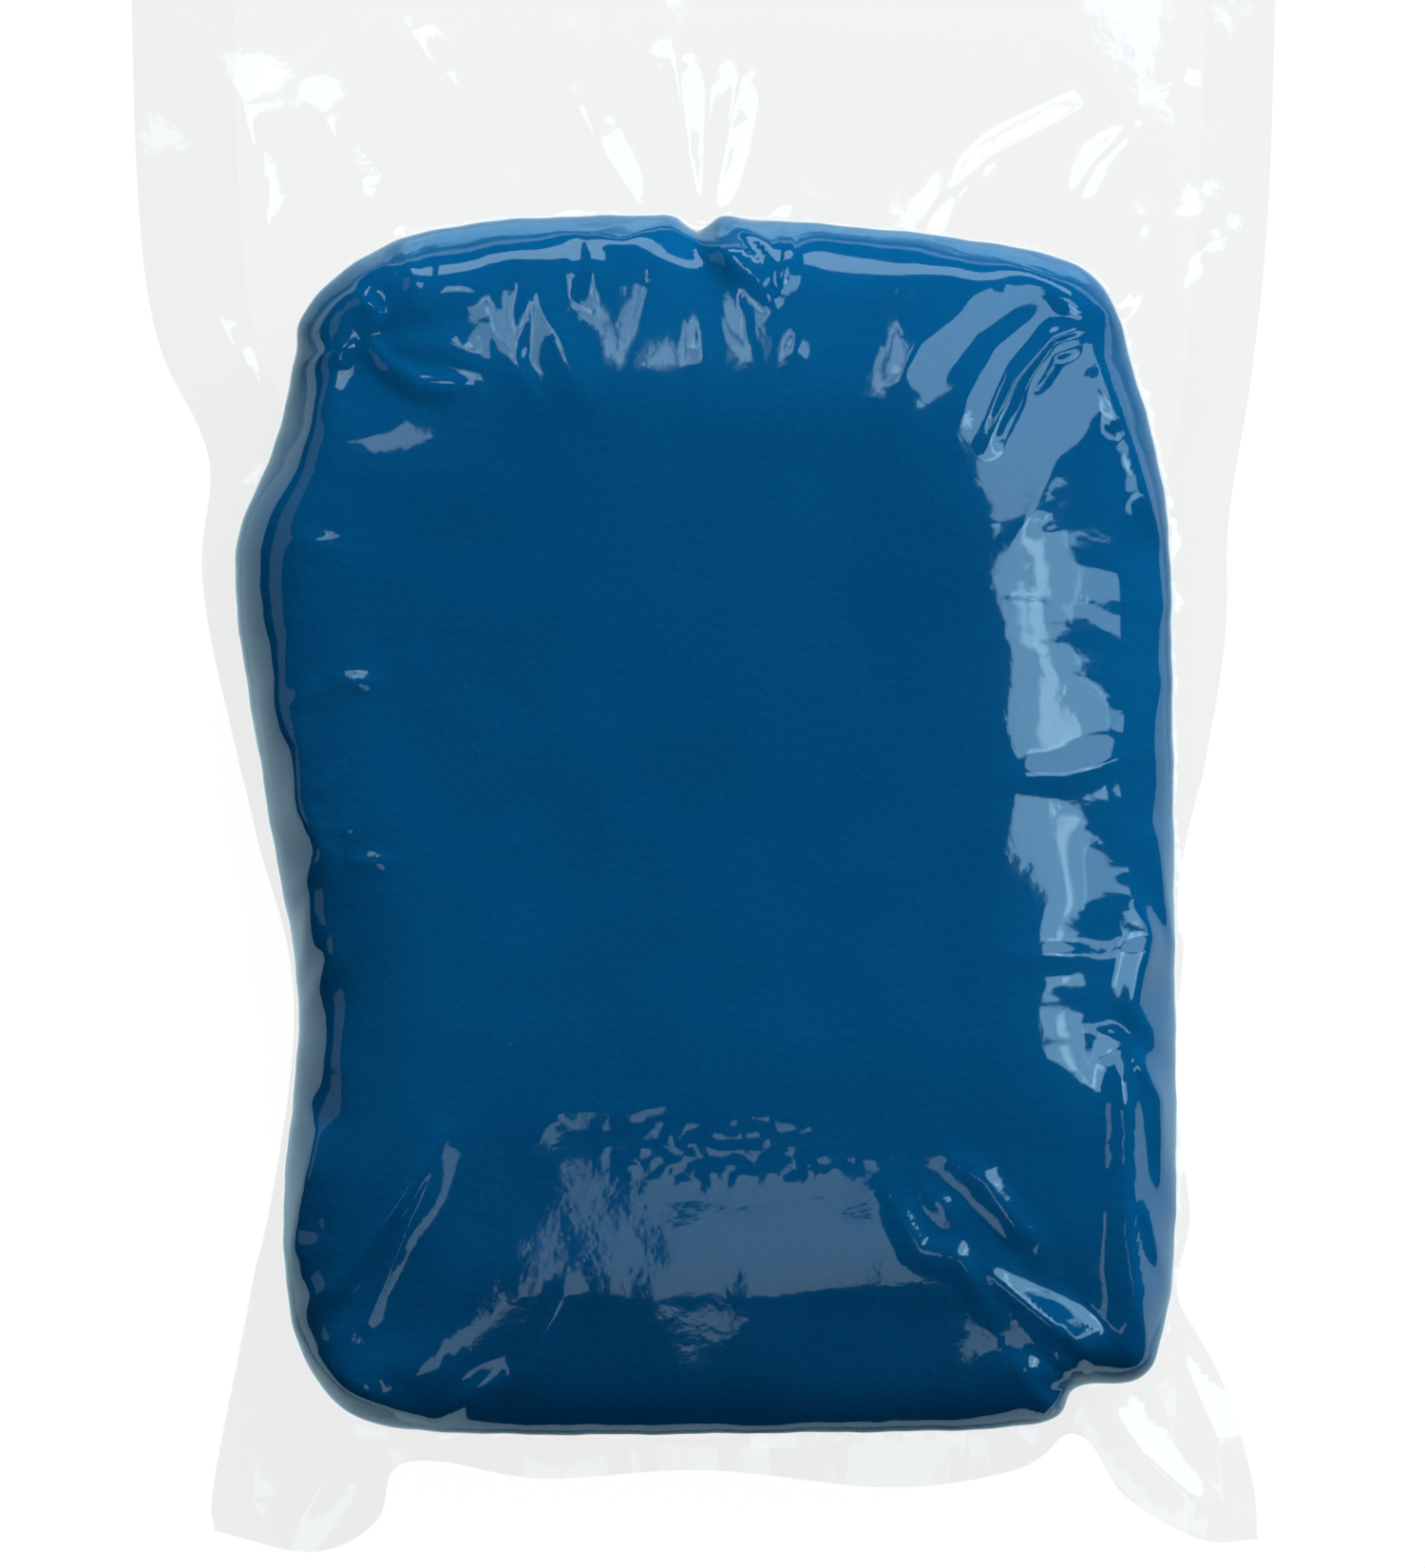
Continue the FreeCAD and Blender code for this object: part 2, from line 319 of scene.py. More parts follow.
def front_surface(placed, slack=0.0):
    """The height of the slab's front, or with slack of a skin that bridges its edges."""
    crown_share = by_place(placed, CROWN_SHARE)
    inset = placed.soft_inset
    crown = 1 - (1 - ((inset + slack) / by_place(placed, CROWN_REACH)).clip(0, 1)) ** 2
    round_reach = ROUND_REACH * (1 + 0.45 * noise(placed.x, placed.y, 8, 8))
    tight = np.sqrt(1 - (1 - (inset / round_reach).clip(0, 1)) ** 2)
    swell = 0.10 * noise(placed.x, placed.y, 17, 3) + 0.05 * noise(placed.x, placed.y, 7, 4)
    rise = (RISE - FILM_ROOM) * (crown_share * crown + (1 - crown_share) * tight)
    fall = BOTTOM_FALL * smooth(-placed.y, FALL_START, FALL_END)
    return WELD + rise + (swell - fall) * smooth(placed.inset, 0, 12)


# The back's round goes in further than the front's. Its dents are the back ply's pleats, pressed in.
BACK_REACH, BACK_POWER = 9.5, 2.4
BACK_PLEAT_SEED, DENT_SHARE, DENT_REACH = 51, 0.9, 15
BACK_WAVE, BACK_WAVE_SIZE = 0.10, 15


def back_of_slab(placed):
    """The height of the clay's back: flat where it rests, and dented by the pleats of the back ply."""
    t = (placed.soft_inset / BACK_REACH).clip(0, 1)
    dome = np.sqrt(1 - (1 - t) ** BACK_POWER)
    dents = DENT_SHARE * pleats(placed, BACK_PLEAT_SEED, DENT_REACH) * smooth(placed.inset, 1, 4)
    bumps = 1 + noise(placed.x, placed.y, BACK_WAVE_SIZE, 17)
    waves = BACK_WAVE * bumps * smooth(placed.inset, 4, 12)
    return WELD - (WELD - CLAY_LOW[2]) * dome + dents + waves


# ---------------------------------------------------------------- the film

COARSE_PLEAT, COARSE_SPACING = 0.42, 5.2
FINE_PLEAT, FINE_SPACING = 0.16, 2.1


def pleats(placed, seed, reach):
    """Pleats square to the slab's edge, dying out on the face and in the flange."""
    slant = 0.5 * noise(placed.edge, placed.edge * 0, 23, seed)
    place = placed.edge + slant * placed.inset
    coarse = facets(place, COARSE_SPACING, seed + 1)
    fine = facets(place + 0.3 * noise(placed.x, placed.y, 4, seed + 2), FINE_SPACING, seed + 3)
    length = reach * (0.85 + 0.45 * noise(placed.edge, placed.edge * 0 + 9, 6, seed + 4))
    inside = smooth(1 - placed.inset / length, 0, 1)
    outside = np.exp(np.minimum(placed.inset, 0) / 5)
    return (COARSE_PLEAT * coarse + FINE_PLEAT * fine) * inside * outside * placed.one_side


# Creases that stand up from the front ply, by where they are: each has its line, its half width and
# its height.
CREASES = {
    "pinched at the notch": [
        ([(-3.5, 40.6), (0.5, 38.5), (4.5, 35.5), (5.8, 33.8)], 0.8, 0.9),
        ([(0, 39.8), (3, 37.8), (6.5, 35)], 0.7, 0.8),
        ([(-3.5, 40.6), (-7, 38.6), (-12, 39.6)], 1.0, 0.6),
        ([(-11, 40), (-9.5, 38), (-9.8, 34.5)], 1.0, 0.5),
        ([(2.5, 40.8), (5.5, 38.5), (6, 35)], 0.8, 0.7),
        ([(7.5, 40), (7.3, 37.5), (6.3, 34.8)], 1.0, 0.8),
    ],
    "down from the top edge": [
        ([(-14.8, 36), (-13.5, 32), (-11.5, 27.5), (-9, 24)], 1.6, 0.3),
        ([(-11.6, 37.5), (-10, 34)], 1.0, 0.2),
        ([(-17, 29), (-14, 25)], 1.0, 0.15),
        ([(-0.2, 34), (-0.1, 27)], 0.8, 0.15),
        ([(8.3, 31.5), (7.5, 28)], 0.7, 0.12),
        ([(22.5, 32.5), (18.5, 30), (16, 25)], 1.7, 0.3),
        ([(28.8, 32.5), (25, 29.5), (21.5, 22.5)], 1.5, 0.3),
    ],
    "top left corner": [
        ([(-29.5, 30.5), (-28, 32.5), (-30.5, 34.5)], 0.8, 0.6),
        ([(-29.5, 31), (-27, 28), (-24.5, 26.5), (-20, 26.2)], 0.9, 0.6),
        ([(-29.5, 30.5), (-32, 29), (-34.5, 28.6)], 0.9, 0.6),
        ([(-28, 31.5), (-25, 34.5), (-26, 38.5)], 0.9, 0.5),
        ([(-30, 35.5), (-27.5, 36.8), (-26.5, 35.5), (-28.5, 34.5)], 0.7, 0.5),
        ([(-28, 31.5), (-22, 34.5), (-17, 34.5)], 1.2, 0.35),
        ([(-28, 30), (-22, 29.8), (-19, 28.3)], 1.2, 0.35),
        ([(-31.5, 28), (-33.5, 24), (-35, 19)], 1.4, 0.4),
    ],
    "top right corner": [
        ([(33.5, 31.7), (30, 30.5), (27, 27), (24.5, 21.5)], 0.8, 0.7),
        ([(32.8, 30.3), (30, 29), (28, 25.5)], 0.8, 0.4),
        ([(33.6, 31), (34.5, 27), (36.5, 22), (38, 17), (39.8, 13)], 0.9, 0.6),
        ([(33.7, 32), (37, 34)], 0.8, 0.4),
        ([(33.7, 32), (30, 35), (26, 37)], 1.0, 0.4),
        ([(30.3, 20), (28.5, 16), (26.5, 12.5)], 0.8, 0.15),
    ],
    "right side": [
        ([(25.5, -7.2), (31, -7.2), (38.5, -5)], 1.0, 0.25),
        ([(26, -22.6), (34, -22.8)], 0.8, 0.20),
        ([(37, -17.5), (38.5, -21), (37, -27), (38.5, -29.5)], 1.1, 0.9),
        ([(39.3, -13), (39.8, -18), (40.9, -23)], 0.9, 0.7),
        ([(35.7, -30), (36.5, -37), (36.6, -46), (37.3, -53), (38.7, -58)], 1.2, 1.0),
        ([(36.5, -30.5), (39.3, -35), (39.5, -41)], 1.0, 0.8),
        ([(35.5, -41.5), (38, -45), (39.5, -50)], 1.0, 0.7),
    ],
    "bottom right corner": [
        ([(24, -49.8), (28, -53), (32, -56), (33.5, -58.5)], 1.4, 0.8),
        ([(16, -43), (18.5, -48), (22, -48.7), (25, -53), (29, -56)], 1.0, 0.4),
        ([(20.5, -39.7), (24, -42), (27, -46), (29, -47), (29, -50)], 1.0, 0.35),
        ([(19, -43), (21.5, -45)], 0.8, 0.2),
        ([(30, -57), (32.5, -60)], 0.9, 0.6),
        ([(26, -58), (29, -58.7), (31.5, -60), (29, -63.3)], 1.0, 0.6),
    ],
    "bottom left corner": [
        ([(-22.8, -38), (-26, -43.5), (-31.5, -51), (-35.3, -53.5)], 0.9, 0.7),
        ([(-22.5, -39), (-25.5, -46), (-29, -54), (-34, -57)], 1.0, 0.35),
        ([(-33.5, -57.5), (-31, -60), (-27, -61.7), (-23.5, -63)], 1.0, 0.7),
        ([(-23, -63), (-20, -60.5), (-16.5, -58.5)], 0.8, 0.5),
        ([(-12, -52), (-15, -58), (-20, -62)], 1.0, 0.3),
    ],
    "left side": [
        ([(-34.3, -35.5), (-33.2, -38), (-34.8, -44), (-36, -50)], 1.0, 0.8),
        ([(-31.3, -21.5), (-34.5, -27.5)], 0.9, 0.4),
        ([(-34, -17.5), (-34.8, -24)], 0.9, 0.5),
        ([(-35, -3), (-35, -10), (-32.8, -13.8), (-35.5, -18)], 1.1, 0.6),
        ([(-32, -6.5), (-34, -10)], 0.8, 0.25),
        ([(-30, -11.5), (-34, -13)], 0.8, 0.3),
        ([(-33.5, 1.5), (-35, -1.5)], 0.7, 0.3),
    ],
    "header": [
        ([(-40, 51), (-38, 43), (-39.5, 34.5)], 2.4, 0.7),
        ([(-42, 32), (-38.5, 26)], 1.2, 0.4),
        ([(-33, 50), (-30, 44), (-31, 38)], 1.6, 0.5),
        ([(-25.5, 57), (-21, 51)], 1.5, 0.5),
        ([(-11, 51), (-8.5, 46), (-5.5, 41.5)], 1.6, 0.6),
        ([(-0.5, 41.5), (-1.5, 47), (-2.5, 55)], 1.1, 0.6),
        ([(0.5, 41.5), (1.5, 46), (3, 53)], 1.1, 0.6),
        ([(19, 41), (25, 46.5), (33, 50.5), (41.5, 52.8)], 1.1, 0.35),
        ([(31, 41), (34, 46), (38, 50)], 1.1, 0.25),
        ([(35.5, 36.5), (38, 41), (43, 43)], 1.2, 0.22),
        ([(40.5, 33), (42, 38), (45, 40)], 1.2, 0.2),
    ],
    "ears": [
        ([(-37, -55), (-38.5, -64), (-39.5, -70)], 1.5, 0.5),
        ([(-31, -64), (-33.5, -69), (-36, -73)], 1.5, 0.4),
        ([(34, -60.5), (38, -66), (44, -71.5)], 1.7, 0.5),
        ([(41, -57), (44, -64), (45.5, -70)], 1.5, 0.4),
    ],
    "small puckers on the face": [
        ([(-35.3, 12.8), (-31.8, 12.8)], 0.6, 0.26),
        ([(-31.5, 0.8), (-28, 0.8)], 0.6, 0.26),
        ([(-31, -14.6), (-27, -14.6)], 0.6, 0.26),
        ([(-26, 1.2), (-24, 2.8)], 0.6, 0.08),
        ([(-18, -14), (-15.5, -12.3)], 0.6, 0.08),
        ([(-18, -31), (-15, -28)], 0.6, 0.10),
        ([(-15, -39), (-12.5, -36), (-6, -36), (0, -34)], 0.9, 0.12),
    ],
}


def crease(placed, line, half_width, height):
    """A fold with a sharp crest along a line, dying away at both ends."""
    away, share = to_line(placed, line)
    tent = (1 - away / (2.2 * half_width)).clip(0, 1) ** 1.6
    return height * tent * np.sin(math.pi * share.clip(0.04, 0.96)) ** 0.5


def all_creases(placed):
    """How far the creases lift the front ply, where two cross the higher one."""
    lift = np.zeros(len(placed.x))
    for group in CREASES.values():
        for line, half_width, height in group:
            lift = np.maximum(lift, crease(placed, line, half_width, height))
    return lift


# How far in from the slab's edge the front ply's pleats run, and how much of the pleats and creases
# the clay under them has taken up.
PLEAT_REACH = [
    ((-36, 20), 10), ((-38, -5), 10), ((-36, -35), 11), ((-33, -58), 9), ((-10, -63), 7),
    ((15, -63), 7), ((33, -60), 9), ((40, -40), 8), ((41, -10), 6), ((41, 12), 5),
    ((36, 30), 7), ((20, 40), 9), ((0, 40), 8), ((-20, 40), 9), ((-32, 33), 8),
]
FRONT_PLEAT_SEED = 21
PRESSED_IN = 0.6


def front_relief(placed):
    """How far the pleats and creases stand up from the front."""
    return pleats(placed, FRONT_PLEAT_SEED, by_place(placed, PLEAT_REACH)) + all_creases(placed)


def front_of_slab(placed):
    """The clay's front, with the film's pleats and creases pressed into it."""
    return front_surface(placed) + PRESSED_IN * front_relief(placed) * smooth(placed.inset, 0, 1.5)


# How jagged the film is where it bridges the edges: the share at each place, and the heights and
# spacings of the jags.
JAGS = [
    ((-38, 0), 0.8), ((-34, -50), 0.6), ((-10, -63), 0.13), ((15, -63), 0.09), ((38, -55), 0.8),
    ((41, -18), 1.3), ((41, 10), 0.25), ((36, 30), 0.6), ((0, 41), 0.6), ((-30, 35), 1.0),
]
COARSE_JAG, COARSE_JAG_SPACING = 1.9, 5.2
FINE_JAG, FINE_JAG_SPACING = 0.35, 1.9
LOOSENESS, LOOSENESS_SIZE = 1.4, 8


def slack_at_edges(placed):
    """How far the film bridges the slab's rolled edges, in jags from one pleat to the next."""
    jags = COARSE_JAG * facets(placed.edge + 0.6 * placed.inset, COARSE_JAG_SPACING, 31)
    jags += FINE_JAG * facets(placed.edge - 0.3 * placed.inset, FINE_JAG_SPACING, 32)
    jags += LOOSENESS * (1 + noise(placed.x, placed.y, LOOSENESS_SIZE, 33))
    return by_place(placed, JAGS) * jags * smooth(placed.inset, 0, 5) * placed.one_side


# Where the film is frosted by tiny blisters: the middle of the patch and its half sizes, and the
# blisters' height and size.
FROST_MIDDLE, FROST_HALF = (3, -39), (15, 5)
BLISTER_HEIGHT, BLISTER_SIZE = 0.05, 1.2


def frost(placed):
    """Blisters about a millimetre across, lower towards the border of the patch."""
    x = (placed.x - FROST_MIDDLE[0]) / FROST_HALF[0]
    y = (placed.y - FROST_MIDDLE[1]) / FROST_HALF[1]
    blisters = 1 + noise(placed.x, placed.y, BLISTER_SIZE, 41)
    return BLISTER_HEIGHT * blisters * smooth(1 - np.hypot(x, y), 0, 0.5)


# The flange: its ripples, and half the space between the plies at the slab and further out.
LONG_RIPPLE, LONG_RIPPLE_SIZE = 0.42, 26
SHORT_RIPPLE, SHORT_RIPPLE_SIZE = 0.12, 9
CLOSE_GAP, LOOSE_GAP, LOOSE_SIZE = 0.05, 0.22, 17


def flange_height(placed):
    """The height of the weld plane, which ripples away from the slab."""
    ripple = LONG_RIPPLE * noise(placed.x, placed.y, LONG_RIPPLE_SIZE, 11)
    ripple += SHORT_RIPPLE * noise(placed.x, placed.y, SHORT_RIPPLE_SIZE, 12)
    return WELD + ripple * smooth(-placed.inset, 0, 12)


def half_gap(placed, seed):
    """How far one ply stands off the weld plane."""
    loose = 1 + noise(placed.x, placed.y, LOOSE_SIZE, seed)
    return CLOSE_GAP + LOOSE_GAP * loose * smooth(-placed.inset, 0, 6)


# How far the plies stand off the clay, and the back ply at least off the floor.
FRONT_GAP, BACK_GAP, FLOOR_GAP = 0.12, 0.05, 0.02
BACK_PLEAT_REACH = 8


def front_of_film(placed):
    """The front ply's height, over the clay and over the flange."""
    stand = front_relief(placed)
    over_clay = front_surface(placed, slack_at_edges(placed)) + FRONT_GAP + stand + frost(placed)
    over_flange = flange_height(placed) + half_gap(placed, 13) + stand
    return np.where(placed.inset > 0, over_clay, over_flange)


def back_of_film(placed):
    """The back ply's height, under the clay and under the flange."""
    stand = pleats(placed, BACK_PLEAT_SEED, BACK_PLEAT_REACH)
    under_clay = back_of_slab(placed) - BACK_GAP - stand * smooth(-placed.inset, -4, -1)
    under_flange = flange_height(placed) - half_gap(placed, 14) - stand
    under = np.where(placed.inset > 0, under_clay, under_flange)
    return under.clip(POUCH_LOW[2] + FLOOR_GAP, None)


# ---------------------------------------------------------------- meshes

def make_mesh(name, points, faces, material):
    """A smooth shaded piece that rides on the root body. Its faces are lists of point numbers."""
    mesh = bpy.data.meshes.new(name)
    mesh.from_pydata((points * MM).tolist(), [], faces)
    mesh.polygons.foreach_set("use_smooth", np.ones(len(mesh.polygons), bool))
    mesh.materials.append(material)
    mesh.update()
    piece = bpy.data.objects.new(name, mesh)
    bpy.context.scene.collection.objects.link(piece)
    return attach(piece, "root")


def grid_faces(rows, columns, wrap=False):
    """Quads of a grid, counter-clockwise seen from above, where rows run up and columns right."""
    index = np.arange(rows * columns).reshape(rows, columns)
    if wrap:
        index = np.hstack([index, index[:, :1]])
    a, b, c, d = index[:-1, :-1], index[:-1, 1:], index[1:, 1:], index[1:, :-1]
    return np.stack([a, b, c, d], axis=-1).reshape(-1, 4)


# The film's grid, and how far inside and outside the slab's outline its points are drawn to it.
FILM_COLUMNS, FILM_ROWS = 250, 380
EDGE_STEPS = 12
DRAWN_INSIDE, INSIDE_POWER = 6.0, 1.8
DRAWN_OUTSIDE, OUTSIDE_POWER = 2.5, 1.6


def pouch_edge(shares, count):
    """That many points, evenly spaced along one edge of the pouch."""
    line = catmull_rom(np.array(shares) * HALF_POUCH, False, EDGE_STEPS)
    return along(line, np.linspace(0, 1, count))


def even_plan():
    """A smooth grid in plan between the pouch's four edges."""
    left = pouch_edge(LEFT_EDGE[::-1], FILM_ROWS)
    right = pouch_edge(RIGHT_EDGE, FILM_ROWS)
    bottom = pouch_edge(BOTTOM_EDGE, FILM_COLUMNS)
    top = np.linspace(left[-1], right[-1], FILM_COLUMNS)
    u = np.linspace(0, 1, FILM_COLUMNS)[None, :, None]
    v = np.linspace(0, 1, FILM_ROWS)[:, None, None]
    across = (1 - u) * left[:, None] + u * right[:, None]
    upwards = (1 - v) * bottom[None] + v * top[None]
    corners = (1 - v) * ((1 - u) * left[0] + u * right[0]) + v * ((1 - u) * left[-1] + u * right[-1])
    return (across + upwards - corners).reshape(-1, 2)


def film_plan():
    """The film's grid in plan, with its points drawn towards the slab's outline, where it is steep."""
    placed = Placed(even_plan())
    inset, away = placed.inset, np.abs(placed.inset)
    inside = np.where(inset < DRAWN_INSIDE, DRAWN_INSIDE * (away / DRAWN_INSIDE) ** INSIDE_POWER, inset)
    outside = np.where(
        inset > -DRAWN_OUTSIDE, -DRAWN_OUTSIDE * (away / DRAWN_OUTSIDE) ** OUTSIDE_POWER, inset)
    drawn = np.where(inset > 0, inside, outside)
    ratio = drawn / np.where(away < 1e-6, 1e-6, inset)
    return Placed(placed.nearest + (placed.xy - placed.nearest) * ratio[:, None])


# The slab's rings, which lie closer together near the outline.
SLAB_RINGS, RING_POINTS, RING_POWER = 66, 640, 1.5


def slab_plan():
    """The slab's rings in plan, from its outline in to its middle, and the middle point last."""
    closed = np.vstack([OUTLINE, OUTLINE[:1]])
    rim = along(closed, np.arange(RING_POINTS) / RING_POINTS)[::-1]
    scale = 1 - np.linspace(0, 1, SLAB_RINGS)[:-1] ** RING_POWER
    middle = CLAY_MIDDLE[:2]
    rings = middle + (rim - middle)[None] * scale[:, None, None]
    placed = Placed(np.vstack([rings.reshape(-1, 2), middle]))
    placed.inset[:RING_POINTS] = 0
    placed.soft_inset[:RING_POINTS] = 0
    return placed


def ring_faces(count):
    """Quads between the rings, and triangles round the middle point, which is the last of count."""
    quads = grid_faces(SLAB_RINGS - 1, RING_POINTS, wrap=True)
    last = np.arange(count - 1 - RING_POINTS, count - 1)
    triangles = np.column_stack([last, np.roll(last, -1), np.full(RING_POINTS, count - 1)])
    return quads, triangles


# ---------------------------------------------------------------- materials

def new_material(name):
    """A material with an empty node tree."""
    material = bpy.data.materials.new(name)
    material.use_nodes = True
    material.node_tree.nodes.clear()
    return material, material.node_tree


def add_node(tree, kind, **values):
    """A node with its sockets set by name, where _ stands for a space."""
    node = tree.nodes.new(kind)
    for socket, value in values.items():
        node.inputs[socket.replace("_", " ")].default_value = value
    return node


def noise_height(tree, scale, detail, distance, strength):
    """A bump node fed by noise of that scale, per metre, and that depth in metres."""
    place = tree.nodes.new("ShaderNodeTexCoord")
    texture = add_node(tree, "ShaderNodeTexNoise", Scale=scale, Detail=detail)
    bump = add_node(tree, "ShaderNodeBump", Strength=strength, Distance=distance)
    tree.links.new(place.outputs["Object"], texture.inputs["Vector"])
    tree.links.new(texture.outputs["Fac"], bump.inputs["Height"])
    return bump


DARK_CLAY, LIGHT_CLAY = (0.0008, 0.058, 0.165, 1), (0.0011, 0.070, 0.190, 1)


def clay_material():
    """Dense dark blue clay: matte, faintly mottled between two blues, with a fine bump."""
    material, tree = new_material("clay")
    output = tree.nodes.new("ShaderNodeOutputMaterial")
    shader = add_node(tree, "ShaderNodeBsdfPrincipled", Roughness=0.62)
    shader.inputs["Specular IOR Level"].default_value = 0.0
    bump = noise_height(tree, 1400, 3, 0.00012, 0.5)
    place = tree.nodes.new("ShaderNodeTexCoord")
    mottle = add_node(tree, "ShaderNodeTexNoise", Scale=45, Detail=4)
    ramp = tree.nodes.new("ShaderNodeValToRGB")
    ramp.color_ramp.elements[0].position = 0.3
    ramp.color_ramp.elements[0].color = DARK_CLAY
    ramp.color_ramp.elements[1].position = 0.7
    ramp.color_ramp.elements[1].color = LIGHT_CLAY
    tree.links.new(place.outputs["Object"], mottle.inputs["Vector"])
    tree.links.new(mottle.outputs["Fac"], ramp.inputs["Fac"])
    tree.links.new(ramp.outputs["Color"], shader.inputs["Base Color"])
    tree.links.new(bump.outputs["Normal"], shader.inputs["Normal"])
    tree.links.new(shader.outputs["BSDF"], output.inputs["Surface"])
    return material


def mirror_share(tree, bump, head_on):
    """How much the film mirrors: head_on seen square, and all of it edge on, from either side."""
    facing = add_node(tree, "ShaderNodeLayerWeight", Blend=0.5)
    power = tree.nodes.new("ShaderNodeMath")
    power.operation = "POWER"
    power.inputs[1].default_value = 3.5
    spread = add_node(tree, "ShaderNodeMapRange")
    spread.inputs["To Min"].default_value = head_on
    tree.links.new(bump.outputs["Normal"], facing.inputs["Normal"])
    tree.links.new(facing.outputs["Facing"], power.inputs[0])
    tree.links.new(power.outputs["Value"], spread.inputs["Value"])
    return spread.outputs["Result"]


GLOSS_TINT = (0.62, 0.90, 1, 1)


def film_material(name, head_on, passed, roughness, ripple):
    """Clear glossy film: a mirror by the angle it is seen at, over what shows through it. passed is
    the colour that it lets through and ripple the depth of its bump in metres."""
    material, tree = new_material(name)
    output = tree.nodes.new("ShaderNodeOutputMaterial")
    clear = add_node(tree, "ShaderNodeBsdfTransparent", Color=passed)
    gloss = add_node(tree, "ShaderNodeBsdfAnisotropic", Color=GLOSS_TINT, Roughness=roughness)
    mix = tree.nodes.new("ShaderNodeMixShader")
    bump = noise_height(tree, 420, 3, ripple, 0.6)
    tree.links.new(bump.outputs["Normal"], gloss.inputs["Normal"])
    tree.links.new(mirror_share(tree, bump, head_on), mix.inputs["Fac"])
    tree.links.new(clear.outputs["BSDF"], mix.inputs[1])
    tree.links.new(gloss.outputs["BSDF"], mix.inputs[2])
    tree.links.new(mix.outputs["Shader"], output.inputs["Surface"])
    return material


CLAY = clay_material()
FILM = film_material("film", 0.07, (0.99, 0.99, 0.99, 1), 0.06, 0.00004)
SEAL = film_material("seal", 0.01, (0.985, 0.985, 0.983, 1), 0.30, 0.0001)


# ---------------------------------------------------------------- the pieces

def clay_piece():
    """The clay: one closed solid, with its front and back joined at the outline."""
    placed = slab_plan()
    back = back_of_slab(placed)
    front = np.maximum(front_of_slab(placed), back)
    count = len(front)
    points = np.vstack([
        np.column_stack([placed.xy, front]),
        np.column_stack([placed.xy[RING_POINTS:], back[RING_POINTS:]]),
    ])

    def to_back(index):
        return np.where(index < RING_POINTS, index, index + count - RING_POINTS)

    quads, triangles = ring_faces(count)
    front_faces = [*quads.tolist(), *triangles.tolist()]
    back_faces = [*to_back(quads)[:, ::-1].tolist(), *to_back(triangles)[:, ::-1].tolist()]
    piece = make_mesh("clay_slab", points, front_faces + back_faces, CLAY)
    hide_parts("clay_bar")


def ply_piece(name, node, placed, height, faces):
    """One ply of film, the whole cut in one sheet."""
    piece = make_mesh(name, np.column_stack([placed.xy, height]), faces.tolist(), FILM)
    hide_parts(node)
    return piece


# The side welds' inner borders, as shares of the film's width, how far the end welds reach past
# them, and how far down the bottom weld starts.
LEFT_BORDER, RIGHT_BORDER, END_REACH = 0.091, 0.936, 0.003
BOTTOM_WELD_TOP = -40
OFF_CLAY = 0.05


def weld_zones(placed):
    """Each weld's CAD node, and which of the film's points lie in the weld."""
    share = np.tile(np.linspace(0, 1, FILM_COLUMNS), FILM_ROWS)
    outside = placed.inset < -OFF_CLAY
    between = (share > LEFT_BORDER - END_REACH) & (share < RIGHT_BORDER + END_REACH)
    at_top = (placed.y > SEAL_LOW[1]) & (placed.y < SEAL_HIGH[1])
    return {
        "left_weld": ("left_side_seal", outside & (share < LEFT_BORDER)),
        "right_weld": ("right_side_seal", outside & (share > RIGHT_BORDER)),
        "bottom_weld": ("bottom_seal", outside & between & (placed.y < BOTTOM_WELD_TOP)),
        "top_weld": ("top_seal", between & at_top),
    }


def weld_piece(name, node, chosen, placed, height, faces):
    """The part of the film's grid that lies in one weld, midway between the plies."""
    kept = faces[chosen[faces].all(1)]
    used, renumbered = np.unique(kept, return_inverse=True)
    points = np.column_stack([placed.xy, height])[used]
    piece = make_mesh(name, points, renumbered.reshape(-1, 4).tolist(), SEAL)
    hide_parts(node)
    return piece


def film_pieces():
    """Both plies, stretched over the clay, and the four welds that go with the front one."""
    placed = film_plan()
    front, back = front_of_film(placed), back_of_film(placed)
    middle = (front + back) / 2
    faces = grid_faces(FILM_ROWS, FILM_COLUMNS)
    front_ply = ply_piece("front_ply", "front_film", placed, front, faces)
    back_ply = ply_piece("back_ply", "back_film", placed, back, faces[:, ::-1])
    welds = [
        weld_piece(name, node, chosen, placed, middle, faces)
        for name, (node, chosen) in weld_zones(placed).items()
    ]


clay_piece()
film_pieces()


# ---------------------------------------------------------------- floor, light and camera

FLOOR_SIZE, FLOOR_HEIGHT = 6, -0.0002
FLOOR_GREY, FLOOR_GLOW = 0.06, 0.98


def floor():
    """A pale floor that gives off most of its light itself, so that the film over it stays pale."""
    material, tree = new_material("floor")
    output = tree.nodes.new("ShaderNodeOutputMaterial")
    shader = add_node(tree, "ShaderNodeBsdfPrincipled", Roughness=0.9)
    shader.inputs["Base Color"].default_value = (FLOOR_GREY, FLOOR_GREY, FLOOR_GREY, 1)
    shader.inputs["Specular IOR Level"].default_value = 0.0
    shader.inputs["Emission Color"].default_value = (1, 1, 1, 1)
    shader.inputs["Emission Strength"].default_value = FLOOR_GLOW
    tree.links.new(shader.outputs["BSDF"], output.inputs["Surface"])
    bpy.ops.mesh.primitive_plane_add(size=FLOOR_SIZE, location=(0, 0, FLOOR_HEIGHT))
    plane = bpy.context.object
    plane.name = "floor"
    plane.data.materials.append(material)


